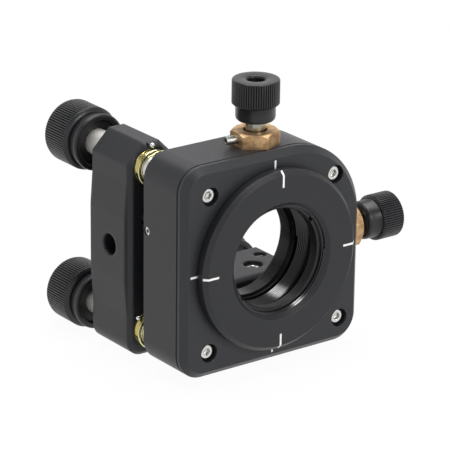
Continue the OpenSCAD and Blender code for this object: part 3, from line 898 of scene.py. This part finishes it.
# Wire bails of the front plate, and the domed pins that they catch on
def bails_and_pins():
    rear_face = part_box("front_housing")[1].y
    plate_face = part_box("back_plate")[0].y
    pin_reach, pin_tip, pin_neck = 5.4 * MM, 1.75 * MM, 0.66 * MM
    for which, middle_turn in (("top", math.pi / 2), ("corner", 3 * math.pi / 4)):
        axis = ADJUSTER_AXIS[which]
        points = []
        for step in range(25):
            swing = (step - 12) / 12
            turn = middle_turn - 0.55 * swing
            dip = max(0.0, math.cos(swing * 2.5 * math.pi)) if abs(swing) < 0.3 else 0.0
            reach = (4.85 - 0.2 * dip) * MM
            points.append(axis + Vector((reach * math.cos(turn), rear_face + 1.1 * MM,
                                         reach * math.sin(turn))))
        inwards = Vector((0, -2.2 * MM, 0))
        points = [points[0] + inwards] + points + [points[-1] + inwards]
        bail = wire("bail_" + which, points, 0.42 * MM)
        finish_piece(bail, gold_wire, "front", "gold_wire", "hook_" + which)
        pin = turned("domed_pin", [(0.04, 0.0), (0.26, 0.05), (0.44, 0.18), (0.54, 0.4),
                                   (0.56, 0.62), (0.5, 0.88), (0.36, 1.06),
                                   (0.24, 1.2), (0.24, 2.6)], sides=32)
        smooth(pin, 50)
        pin.name = "pin_" + which
        stand(pin, ALONG_Y, axis + Vector((
            pin_reach * math.cos(middle_turn), plate_face - pin_tip,
            pin_reach * math.sin(middle_turn))))
        finish_piece(pin, polished, "back", "stainless")
        # The pin's neck takes the dark spring steel: painted shade under its dome.
        pin.data.materials.append(spring_steel)
        for face in pin.data.polygons:
            face.material_index = int(face.center.y > plate_face - pin_neck)


tilt_knobs()
stage_knobs()
tilt_screws()
stage_screws()
tilt_bushings()
stage_bushings()
cover_screw_heads()
plate_set_screws()
optic_thread()
return_springs()
plunger_springs()
bails_and_pins()


# Floor, backdrop, lamps and camera
def white_floor():
    material = bpy.data.materials.new("studio_floor")
    material.use_nodes = True
    tree = material.node_tree
    tree.nodes.clear()
    diffuse = tree.nodes.new("ShaderNodeBsdfDiffuse")
    diffuse.inputs["Color"].default_value = (0.86, 0.86, 0.86, 1)
    glow = tree.nodes.new("ShaderNodeEmission")
    glow.inputs["Strength"].default_value = 1.0
    mix = tree.nodes.new("ShaderNodeMixShader")
    link(tree, math_node(tree, "MULTIPLY", seen_rays(tree), 0.96), mix.inputs[0])
    link(tree, diffuse.outputs[0], mix.inputs[1])
    link(tree, glow.outputs[0], mix.inputs[2])
    out = tree.nodes.new("ShaderNodeOutputMaterial")
    link(tree, mix.outputs[0], out.inputs["Surface"])
    return material


def seen_rays(tree):
    """1 for what the lens, a gloss or glass sees."""
    path = tree.nodes.new("ShaderNodeLightPath")
    return math_node(tree, "MAXIMUM", path.outputs["Is Camera Ray"],
                     math_node(tree, "MAXIMUM", path.outputs["Is Glossy Ray"],
                               path.outputs["Is Transmission Ray"]))


nothing_selected()
bpy.ops.mesh.primitive_plane_add(size=6, location=(0, 0, cad_low.z - 0.02 * MM))
floor = begin("studio_floor")
floor.data.materials.append(white_floor())


def studio_world():
    """White behind the object; as a light, white round the horizon and dimmer above."""
    world = bpy.data.worlds.new("studio")
    bpy.context.scene.world = world
    world.use_nodes = True
    tree = world.node_tree
    split = tree.nodes.new("ShaderNodeSeparateXYZ")
    directions = tree.nodes.new("ShaderNodeTexCoord").outputs["Generated"]
    link(tree, directions, split.inputs[0])
    dimming = tree.nodes.new("ShaderNodeMapRange")
    dimming.interpolation_type = "SMOOTHSTEP"
    for socket, value in (("From Min", 0.32), ("From Max", 0.7), ("To Min", 1.0),
                          ("To Max", 0.3)):
        socket_value(dimming, socket, value)
    link(tree, split.outputs["Z"], dimming.inputs["Value"])
    glow = math_node(tree, "MULTIPLY", between(tree, seen_rays(tree), 0.55, 1.0),
                     dimming.outputs["Result"])
    path = tree.nodes.new("ShaderNodeLightPath")
    link(tree, math_node(tree, "MAXIMUM", glow, path.outputs["Is Camera Ray"]),
         tree.nodes["Background"].inputs["Strength"])
    socket_value(tree.nodes["Background"], "Color", (1, 1, 1, 1))


studio_world()


def lamp(name, where, target, size, power):
    data = bpy.data.lights.new(name, "AREA")
    data.shape = "RECTANGLE"
    data.size, data.size_y = size
    data.energy = power
    ob = bpy.data.objects.new(name, data)
    bpy.context.collection.objects.link(ob)
    ob.location = where
    ob.rotation_mode = "QUATERNION"
    ob.rotation_quaternion = (target - where).to_track_quat("-Z", "Y")
    return ob


centre = (cad_low + cad_high) / 2
lamp("top_softbox", centre + Vector((0.05, 0.05, 0.45)), centre, (0.5, 0.5), 3.6)
lamp("front_softbox", centre + Vector((0.05, -0.42, 0.23)), centre, (0.10, 0.08), 0.7)

# Camera, placed from the middle of the front plate's face
face_centre = Vector((0, cover_front, OPTIC_AXIS.z))
data = bpy.data.cameras.new("camera")
data.sensor_width = 36
data.lens = 225.64
camera = bpy.data.objects.new("camera", data)
bpy.context.collection.objects.link(camera)
bpy.context.scene.camera = camera
azimuth, elevation, roll = (math.radians(a) for a in (-36.659, 20.349, 0.69))
distance = 641.36         # mm
target = face_centre + Vector((-8.179, 8.0, 7.313)) * MM
back = Vector((math.sin(azimuth) * math.cos(elevation),
               -math.cos(azimuth) * math.cos(elevation), math.sin(elevation)))
right = Vector((math.cos(azimuth), math.sin(azimuth), 0))
up = back.cross(right)
tilted_right = right * math.cos(roll) + up * math.sin(roll)
tilted_up = up * math.cos(roll) - right * math.sin(roll)
camera.matrix_world = Matrix.Translation(target + back * distance * MM) @ Matrix(
    (tilted_right, tilted_up, back)).transposed().to_4x4()
data.clip_start, data.clip_end = 0.05, 10

bpy.context.scene.view_settings.view_transform = "Standard"
